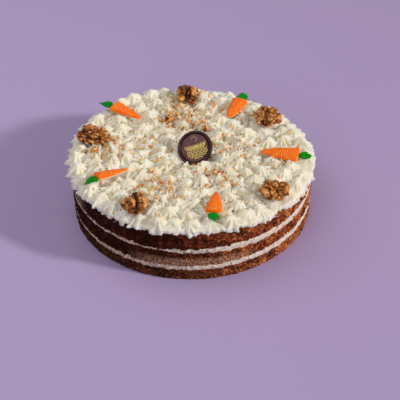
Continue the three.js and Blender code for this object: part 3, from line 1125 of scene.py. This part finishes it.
def sprayMesh(settings):
    # small gold leaves on the disc's face
    place = discFrame()
    ball, faces = ballPoints(2)
    points, allFaces = [], []
    along = Matrix.Rotation(math.radians(settings["turn"]), 3, "Z")

    def addLeaf(group, spot, lean, size):
        turned = along @ Matrix.Rotation(lean, 3, "Z")
        middle = Vector((*group["middle"], -settings["depth"])) + along @ spot
        start = len(points)
        for part in ball:
            narrow = 1 - 0.5 * abs(part.x)
            across = part.y * size[1] / 2 * narrow
            blade = Vector((part.x * size[0] / 2, across, part.z * settings["leafThickness"]))
            points.append(place @ (turned @ blade + middle))
        allFaces.extend(tuple(start + corner for corner in face) for face in faces)

    lens = settings["lens"]
    rows = int(lens["half"][1] / lens["pitch"])
    for row in range(-rows, rows + 1):
        reach = lens["half"][0] * math.sqrt(1 - (row * lens["pitch"] / lens["half"][1]) ** 2)
        count = round(2 * reach / lens["pitch"])
        for step in range(count):
            spot = Vector((-reach + 2 * reach * (step + 0.5) / count, row * lens["pitch"], 0))
            lean = math.radians(lens["lean"] if (step + row) % 2 else -lens["lean"])
            lean += lens["stray"] * stray(10 * row + step)
            addLeaf(lens, spot, lean, lens["leaf"])
    fan = settings["fan"]
    for step in range(fan["count"]):
        share = 2 * step / (fan["count"] - 1) - 1
        spot = Vector((fan["reach"] * share, fan["bow"] * share ** 2, 0))
        addLeaf(fan, spot, math.radians(90 - fan["spread"] * share), fan["leaf"])
    return makeMesh("goldSpray", points, allFaces)


def dotsMesh(settings):
    place = discFrame()
    ball, faces = ballPoints(2)
    points, allFaces = [], []
    for step in range(settings["count"]):
        angle = math.radians(settings["start"] + settings["step"] * step)
        x = settings["middle"][0] + settings["reach"] * math.cos(angle)
        y = settings["middle"][1] + settings["reach"] * math.sin(angle)
        spot = Vector((x, y, -settings["depth"]))
        start = len(points)
        points.extend(place @ (part * settings["radius"] + spot) for part in ball)
        allFaces.extend(tuple(start + corner for corner in face) for face in faces)
    return makeMesh("paleDots", points, allFaces)


def addDisc(chocolateLook, goldLook, dotLook):
    addPiece("chocolateDisc", discMesh(discSettings), chocolateLook, "chocolate", "chocolate_disc")
    addPiece("goldSpray", sprayMesh(goldSettings), goldLook, "chocolate", "chocolate_disc")
    addPiece("paleDots", dotsMesh(dotSettings), dotLook, "chocolate", "chocolate_disc")


# chopped nuts and crumbs

crumbSettings = dict(
    # how many, how many away from the heaps, and the smallest and largest size in millimetres
    kinds=dict(
        nutOrange=dict(density=0.33, everywhere=0.02, small=0.8, large=3.4, seed=1),
        nutTan=dict(density=0.72, everywhere=0.05, small=0.7, large=3.5, seed=2),
        nutDark=dict(density=0.2, everywhere=0.1, small=0.4, large=1.9, seed=3),
        nutYellow=dict(density=0.5, everywhere=0.26, small=0.5, large=2.2, seed=4),
        herbGreen=dict(density=0.1, everywhere=0.24, small=0.3, large=0.9, seed=5),
    ),
    perMetre=160000,
    # x, y, spread and strength of the heaps, in millimetres
    heaps=[
        (-8, 62, 20, 1.0), (-22, 48, 9, 1.2), (4, 42, 12, 0.9), (-15, 78, 10, 0.9), (18, 70, 14, 0.5),
        (-84, 8, 13, 0.9), (-86, 26, 10, 0.6), (-32, -45, 18, 0.8), (-45, -60, 9, 1.0), (-26, -56, 9, 0.9),
        (-35, -78, 7, 0.9), (32, 8, 15, 0.6), (24, -38, 10, 1.0), (38, -48, 12, 0.6), (76, -24, 9, 0.5),
        (62, 55, 9, 0.6), (-50, 10, 20, 0.4), (0, -20, 26, 0.15), (60, -5, 18, 0.12), (0, -85, 25, 0.06),
    ],
    shapes=8,
    reach=114,           # how far from the middle crumbs lie
    step=2,              # of the grid that they fall from, in millimetres
    above=0.1,           # height of that grid, and how far a crumb can travel
)


sideCrumbSettings = dict(
    perMetre=90000,
    small=0.35,
    large=1.3,
    seed=11,
    turns=240,
    rows=26,
    out=0.13,            # radius of the band that they start from
    foot=1 * mm,
)


def crumbMesh(name, seed):
    draw = random.Random(seed)
    ball = bmesh.new()
    bmesh.ops.create_icosphere(ball, subdivisions=1, radius=1)
    shape = [draw.uniform(0.7, 1.2), draw.uniform(0.5, 0.9), draw.uniform(0.35, 0.7)]
    for corner in ball.verts:
        chip = draw.uniform(0.6, 1.25)
        corner.co = Vector([corner.co[axis] * shape[axis] * chip for axis in range(3)])
    mesh = bpy.data.meshes.new(name)
    ball.to_mesh(mesh)
    ball.free()
    return mesh


def heapShare(x, y):
    # how thickly chopped nuts lie on the cream
    amount = 0
    for heapX, heapY, spread, strength in crumbSettings["heaps"]:
        amount += strength * math.exp(-(((x / mm - heapX) ** 2 + (y / mm - heapY) ** 2) / spread ** 2))
    return amount


def sprinkleGrid(settings, everywhere):
    # a flat grid over the cake that carries how thickly crumbs lie
    side = range(-settings["reach"], settings["reach"] + 1, settings["step"])
    points = [(x * mm, y * mm, settings["above"]) for y in side for x in side]
    mesh = makeMesh("sprinkleGrid", points, gridFaces(len(side), len(side), False))
    share = []
    for x, y, _ in points:
        amount = everywhere + heapShare(x, y)
        amount *= 1 - smoothStep(math.hypot(x, y) / mm, settings["reach"] - 12, settings["reach"])
        patchy = smoothStep(noise.noise(Vector((x, y, 0)) / (6 * mm)), -0.3, 0.35)
        share.append(amount * (0.25 + 1.5 * patchy))
    setAttribute(mesh, "share", share)
    return mesh


def crumbTree(name, inwards):
    # crumbs start on the given mesh and travel to the cake: inwards to its axis, or else straight down
    tree, graph, given = newTree(
        name, Cake="Object", Kinds="Collection", Material="Material",
        Density=1000.0, Small=0.3, Large=1.0, Seed=1,
    )
    share = graph.add("GeometryNodeInputNamedAttribute", dict(data_type="FLOAT"), {"Name": "share"})
    strewn = graph.add("GeometryNodeDistributePointsOnFaces", None, {
        "Mesh": given.out("Geometry"), "Density": share * given.out("Density"), "Seed": given.out("Seed"),
    })
    cake = graph.add("GeometryNodeObjectInfo", None, {"Object": given.out("Cake")}).out("Geometry")
    way = (0, 0, -1)
    if inwards:
        position = graph.add("GeometryNodeInputPosition")
        way = graph.add("ShaderNodeVectorMath", dict(operation="MULTIPLY"), {0: position, 1: (-1, -1, 0)})
    fallen = graph.add("GeometryNodeRaycast", None, {
        "Target Geometry": cake, "Ray Direction": way, "Ray Length": crumbSettings["above"],
    })
    missed = graph.add("FunctionNodeBooleanMath", dict(operation="NOT"), {0: fallen})
    landed = {"Geometry": strewn, "Position": fallen.out("Hit Position")}
    resting = graph.add("GeometryNodeSetPosition", None, landed)
    kept = graph.add("GeometryNodeDeleteGeometry", None, {"Geometry": resting, "Selection": missed})
    kinds = graph.add("GeometryNodeCollectionInfo", None, {
        "Collection": given.out("Kinds"), "Separate Children": True, "Reset Children": True,
    })
    spin = graph.add("FunctionNodeRandomValue", dict(data_type="FLOAT_VECTOR"), {
        "Min": (0.0, 0.0, 0.0), "Max": (6.28, 6.28, 6.28), "Seed": given.out("Seed"),
    })
    chance = graph.add("FunctionNodeRandomValue", dict(data_type="FLOAT"), {
        "Min": 0.0, "Max": 1.0, "Seed": given.out("Seed") + 7,
    })
    size = (given.out("Small") + (given.out("Large") - given.out("Small")) * chance * chance) * mm
    placed = graph.add("GeometryNodeInstanceOnPoints", None, {
        "Points": kept, "Instance": kinds, "Pick Instance": True, "Rotation": spin, "Scale": size,
    })
    real = graph.add("GeometryNodeRealizeInstances", None, {"Geometry": placed})
    coated = graph.add("GeometryNodeSetMaterial", None, {"Geometry": real, "Material": given.out("Material")})
    graph.add("NodeGroupOutput", None, {"Geometry": coated})
    return tree


def joinedCopy(name, pieces):
    # one object with the faces of several pieces, for crumbs to land on
    joined = bmesh.new()
    for piece in pieces:
        joined.from_mesh(piece.data)
    mesh = bpy.data.meshes.new(name)
    joined.to_mesh(mesh)
    joined.free()
    target = bpy.data.objects.new(name, mesh)
    bpy.context.scene.collection.objects.link(target)
    return target


def addCrumbs(topPieces, sidePieces, looks, spongeLook):
    settings = crumbSettings
    kinds = bpy.data.collections.new("crumbKinds")
    bpy.context.scene.collection.children.link(kinds)
    for number in range(settings["shapes"]):
        mesh = crumbMesh(f"crumb{number}", 90 + number)
        kinds.objects.link(bpy.data.objects.new(f"crumb{number}", mesh))
    top, side = joinedCopy("topSkin", topPieces), joinedCopy("sideSkin", sidePieces)
    tree = crumbTree("strewCrumbs", False)
    for name, kind in settings["kinds"].items():
        source = bpy.data.objects.new(name, sprinkleGrid(settings, kind["everywhere"]))
        mesh = runTree(
            source, tree, Cake=top, Kinds=kinds, Material=looks[name], Seed=kind["seed"],
            Density=settings["perMetre"] * kind["density"], Small=kind["small"], Large=kind["large"],
        )
        addPiece(name, mesh, looks[name], "walnut", "cream_top")
        print(name, len(mesh.polygons), "faces")
    settings = sideCrumbSettings
    mesh = runTree(
        bpy.data.objects.new("spongeCrumbs", sideBand(settings)), crumbTree("stickCrumbs", True), Cake=side,
        Kinds=kinds, Material=spongeLook, Seed=settings["seed"], Density=settings["perMetre"],
        Small=settings["small"], Large=settings["large"],
    )
    addPiece("spongeCrumbs", mesh, spongeLook, "sponge", "sponge_top")
    print("spongeCrumbs", len(mesh.polygons), "faces")
    for item in list(kinds.objects) + [top, side]:
        bpy.data.objects.remove(item)
    bpy.data.collections.remove(kinds)


def sideBand(settings):
    # a band round the cake, just clear of it, that carries how thickly loose sponge crumbs lie on the side
    turns, rows, out, foot = (settings[key] for key in ("turns", "rows", "out", "foot"))
    points, share = [], []
    for row in range(rows):
        z = foot + (spongeTop - foot) * row / (rows - 1)
        for step in range(turns):
            angle = 2 * math.pi * step / turns
            points.append((out * math.cos(angle), out * math.sin(angle), z))
            nearSeam = 0.0
            for filling in fillings.values():
                middle = roundValue(filling["middle"], angle)
                thickness = roundValue(filling["thickness"], angle)
                edge = abs(abs(z - middle) - thickness / 2)
                nearSeam = max(nearSeam, 1 - smoothStep(edge, 0, 3 * mm))
            patch = smoothStep(noise.noise(Vector(points[-1]) / (18 * mm)), -0.2, 0.4)
            nearEdge = max(nearSeam, smoothStep(z, spongeTop - 3 * mm, spongeTop))
            share.append(0.25 + 0.75 * nearEdge * patch)
    mesh = makeMesh("sideBand", points, gridFaces(rows, turns, True))
    setAttribute(mesh, "share", share)
    return mesh


# finishes

def objectPlace(graph):
    return graph.add("ShaderNodeTexCoord").out("Object")


def bumped(graph, height, strength, distance):
    return graph.add("ShaderNodeBump", None, {"Strength": strength, "Distance": distance, "Height": height})


def creamMaterial():
    material, graph, shader = newMaterial(
        "pipedCream", roughness=0.45, subsurface_weight=0.85, subsurface_radius=(1.0, 0.85, 0.6),
        subsurface_scale=8.5 * mm, specular_ior_level=0.25,
    )
    place = objectPlace(graph)
    tone = graph.noise(place, 14 * mm, 2.0).between(0.35, 0.7)
    colour = graph.mix(tone, (0.83, 0.775, 0.62), (0.865, 0.83, 0.71))
    dust = graph.attribute("dust")
    specks = graph.noise(place, 5 * mm, 4.0, 0.7).between(0.5, 0.66)
    dusted = graph.mix(dust.between(0.15, 1.0) * specks * 0.62, colour, (0.88, 0.58, 0.34))
    grain = graph.noise(place, 1.4 * mm, 3.0)
    graph.feed(shader, Base_Color=dusted, Normal=bumped(graph, grain, 0.3, 0.4 * mm))
    return material


def fillingMaterial():
    material, graph, shader = newMaterial(
        "spreadCream", roughness=0.5, subsurface_weight=0.2, subsurface_radius=(1.0, 0.75, 0.5),
        subsurface_scale=2 * mm,
    )
    place = objectPlace(graph)
    crumbs = graph.noise(place, 2.8 * mm, 4.0, 0.75).between(0.50, 0.60)
    # painted shade: the filling is painted darker towards the left, the side away from the key light, and its
    # dark crumb specks are denser there
    left = (0 - graph.add("ShaderNodeSeparateXYZ", None, {"Vector": place})).between(-50 * mm, 90 * mm)
    clean = graph.mix(left, (0.80, 0.72, 0.60), (0.68, 0.55, 0.40))
    colour = graph.mix(crumbs * (left * 0.6 + 0.4), clean, (0.24, 0.09, 0.035))
    grain = graph.noise(place, 1.6 * mm, 3.0)
    graph.feed(shader, Base_Color=colour, Normal=bumped(graph, grain, 0.5, 0.5 * mm))
    return material


def spongeMaterial():
    material, graph, shader = newMaterial("spongeCrumb", roughness=0.9, specular_ior_level=0.1)
    place = objectPlace(graph)
    across = graph.add("ShaderNodeSeparateXYZ", None, {"Vector": place})
    # the right side, which faces the key light, is painted lighter and its crumb given more contrast: painted
    # light; the left side stays darker as painted shade
    litRight = across.out("X").between(-90 * mm, 112 * mm)
    rough = graph.noise(place, 2.6 * mm, 5.0, 0.8) * (litRight * 0.35 + 0.52)
    tone = rough + graph.noise(place, 9 * mm, 2.0) * 0.33 - litRight * 0.175 + 0.10
    colour = graph.ramp(
        tone + litRight * 0.15 - 0.065,
        (0.38, (0.008, 0.0015, 0.0004)),
        (0.50, (0.045, 0.009, 0.003)),
        (0.60, (0.20, 0.042, 0.013)),
        (0.70, (0.72, 0.23, 0.075)),
    )
    # pale crumb in the bottom layer, and cream smeared over the front of the middle one's lower half
    # and over the front left of the top one
    level = across.out("Z")
    fine = graph.noise(place, 1.3 * mm, 4.0, 0.75)
    foot = (1 - level.between(8 * mm, 13 * mm)) * fine.between(0.52, 0.64)
    paler = graph.mix(foot * 0.55, colour, (0.54, 0.26, 0.11))
    band = level.between(14 * mm, 17 * mm) * (1 - level.between(22 * mm, 28 * mm))
    front = (0 - across.out("Y")).between(100 * mm, 117 * mm)
    smeared = graph.mix(band * front * fine.between(0.43, 0.56) * 0.9, paler, (0.60, 0.33, 0.20))
    edge = (0 - across.out("X")).between(100 * mm, 112 * mm) * level.between(30 * mm, 36 * mm)
    edge = edge * (0 - across.out("Y")).between(2 * mm, 30 * mm)
    touched = graph.mix(edge * fine.between(0.48, 0.56) * 0.8, smeared, (0.62, 0.46, 0.36))
    grain = graph.noise(place, 0.9 * mm, 3.0)
    graph.feed(shader, Base_Color=touched, Normal=bumped(graph, grain, 0.7, 0.5 * mm))
    return material


def walnutMaterial():
    material, graph, shader = newMaterial("walnutSkin", roughness=0.42, specular_ior_level=0.2)
    place = objectPlace(graph)
    fold = graph.attribute("fold")
    streak = graph.noise(place, 3.4 * mm, 4.0, 0.7)
    # dark in the crevices and bright on the backs of the folds: painted shade and painted light, over the
    # kernel's own streaky tone
    colour = graph.ramp(
        fold * 0.66 + streak * 1.0 - 0.38,
        (0.14, (0.040, 0.009, 0.0008)),
        (0.35, (0.105, 0.025, 0.0015)),
        (0.57, (0.34, 0.10, 0.010)),
        (0.82, (0.88, 0.44, 0.14)),
    )
    # pale patches on the tops of the folds: skin rubbed off, and painted highlights as well
    rubbedAndGlint = graph.noise(place, 2.6 * mm, 3.0, 0.7).between(0.56, 0.64) * fold
    wornAndGlint = graph.mix(rubbedAndGlint * 0.7, colour, (0.90, 0.52, 0.25))
    grain = graph.noise(place, 1.1 * mm, 3.0)
    graph.feed(shader, Base_Color=wornAndGlint, Normal=bumped(graph, grain, 0.5, 0.5 * mm))
    return material


def rootMaterial():
    material, graph, shader = newMaterial(
        "orangeSugar", roughness=0.5, specular_ior_level=0.2, subsurface_weight=0.15,
        subsurface_radius=(1.0, 0.4, 0.1), subsurface_scale=1 * mm,
    )
    place = objectPlace(graph)
    rib = graph.attribute("rib")
    upward = graph.attribute("upward")
    tone = graph.noise(place, 5 * mm, 3.0)
    body = graph.mix(tone.between(0.3, 0.7), (0.97, 0.145, 0.0), (1.0, 0.215, 0.002))
    broken = graph.noise(place, 3.0 * mm, 2.0).between(0.45, 0.6)
    lines = rib.between(0.6, 0.95) * broken * upward.between(0.3, 0.75) * 0.8
    lined = graph.mix(lines, body, (1.0, 0.60, 0.30))
    pale = graph.mix((1 - upward.between(-0.02, 0.14)) * 0.85, lined, (0.95, 0.66, 0.42))
    graph.feed(shader, Base_Color=pale, Normal=bumped(graph, graph.noise(place, 0.8 * mm), 0.2, 0.3 * mm))
    return material


def leafMaterial():
    material, graph, shader = newMaterial("greenSugar", roughness=0.55, specular_ior_level=0.12)
    place = objectPlace(graph)
    crease = graph.attribute("crease")
    tone = graph.noise(place, 3 * mm, 3.0)
    # darker green where the crease value is low: painted shade in the creases and under the fingers, over a
    # random tone
    colour = graph.mix(crease * 0.6 + tone * 0.5, (0.0, 0.06, 0.0), (0.0, 0.36, 0.012))
    graph.feed(shader, Base_Color=colour, Normal=bumped(graph, graph.noise(place, 0.8 * mm), 0.3, 0.3 * mm))
    return material


def chocolateMaterial():
    material, graph, shader = newMaterial("darkChocolate", roughness=0.40, specular_ior_level=0.2)
    place = objectPlace(graph)
    rim = graph.attribute("rim")
    bloom = graph.noise(place, 5 * mm, 3.0)
    face = graph.mix(bloom.between(0.3, 0.7), (0.120, 0.050, 0.056), (0.18, 0.085, 0.092))
    edge = graph.mix(bloom.between(0.35, 0.65), (0.012, 0.0022, 0.0014), (0.034, 0.008, 0.005))
    colour = graph.mix(rim, face, edge)
    graph.feed(shader, Base_Color=colour, Normal=bumped(graph, graph.noise(place, 1.0 * mm), 0.15, 0.3 * mm))
    return material


def goldMaterial():
    material, graph, shader = newMaterial("goldDust", roughness=0.5)
    place = objectPlace(graph)
    tone = graph.noise(place, 1.5 * mm, 3.0).between(0.3, 0.7)
    graph.feed(shader, Base_Color=graph.mix(tone, (0.96, 0.67, 0.09), (1.0, 0.90, 0.36)))
    return material


def crumbMaterial(name, dark, light):
    material, graph, shader = newMaterial(name, roughness=0.6)
    place = objectPlace(graph)
    tone = graph.noise(place, 3 * mm, 3.0).between(0.35, 0.65)
    graph.feed(shader, Base_Color=graph.mix(tone, dark, light))
    return material


addCamera(cameraSettings)
addLights(lightSettings)
addFloor(floorSettings)
print("camera, lights and floor placed")
spongeLook = spongeMaterial()
layerPieces = addLayers(spongeLook, fillingMaterial())
print("sponge and fillings made")
creamPieces = addCream(creamMaterial())
print("cream piped")
walnutLook = walnutMaterial()
addWalnuts(walnutLook)
addWalnutPieces(walnutLook)
addCarrots(rootMaterial(), leafMaterial())
paleSugar = crumbMaterial("paleSugar", (0.42, 0.28, 0.24), (0.66, 0.48, 0.42))
addDisc(chocolateMaterial(), goldMaterial(), paleSugar)
print("toppings made")
addCrumbs(creamPieces, layerPieces, dict(
    nutOrange=crumbMaterial("nutOrange", (0.52, 0.15, 0.022), (0.90, 0.42, 0.12)),
    nutTan=crumbMaterial("nutTan", (0.72, 0.43, 0.18), (0.90, 0.70, 0.42)),
    nutDark=crumbMaterial("nutDark", (0.14, 0.045, 0.012), (0.30, 0.11, 0.03)),
    nutYellow=crumbMaterial("nutYellow", (0.42, 0.32, 0.06), (0.72, 0.60, 0.22)),
    herbGreen=crumbMaterial("herbGreen", (0.06, 0.07, 0.02), (0.16, 0.17, 0.05)),
), spongeLook)
print("crumbs strewn")
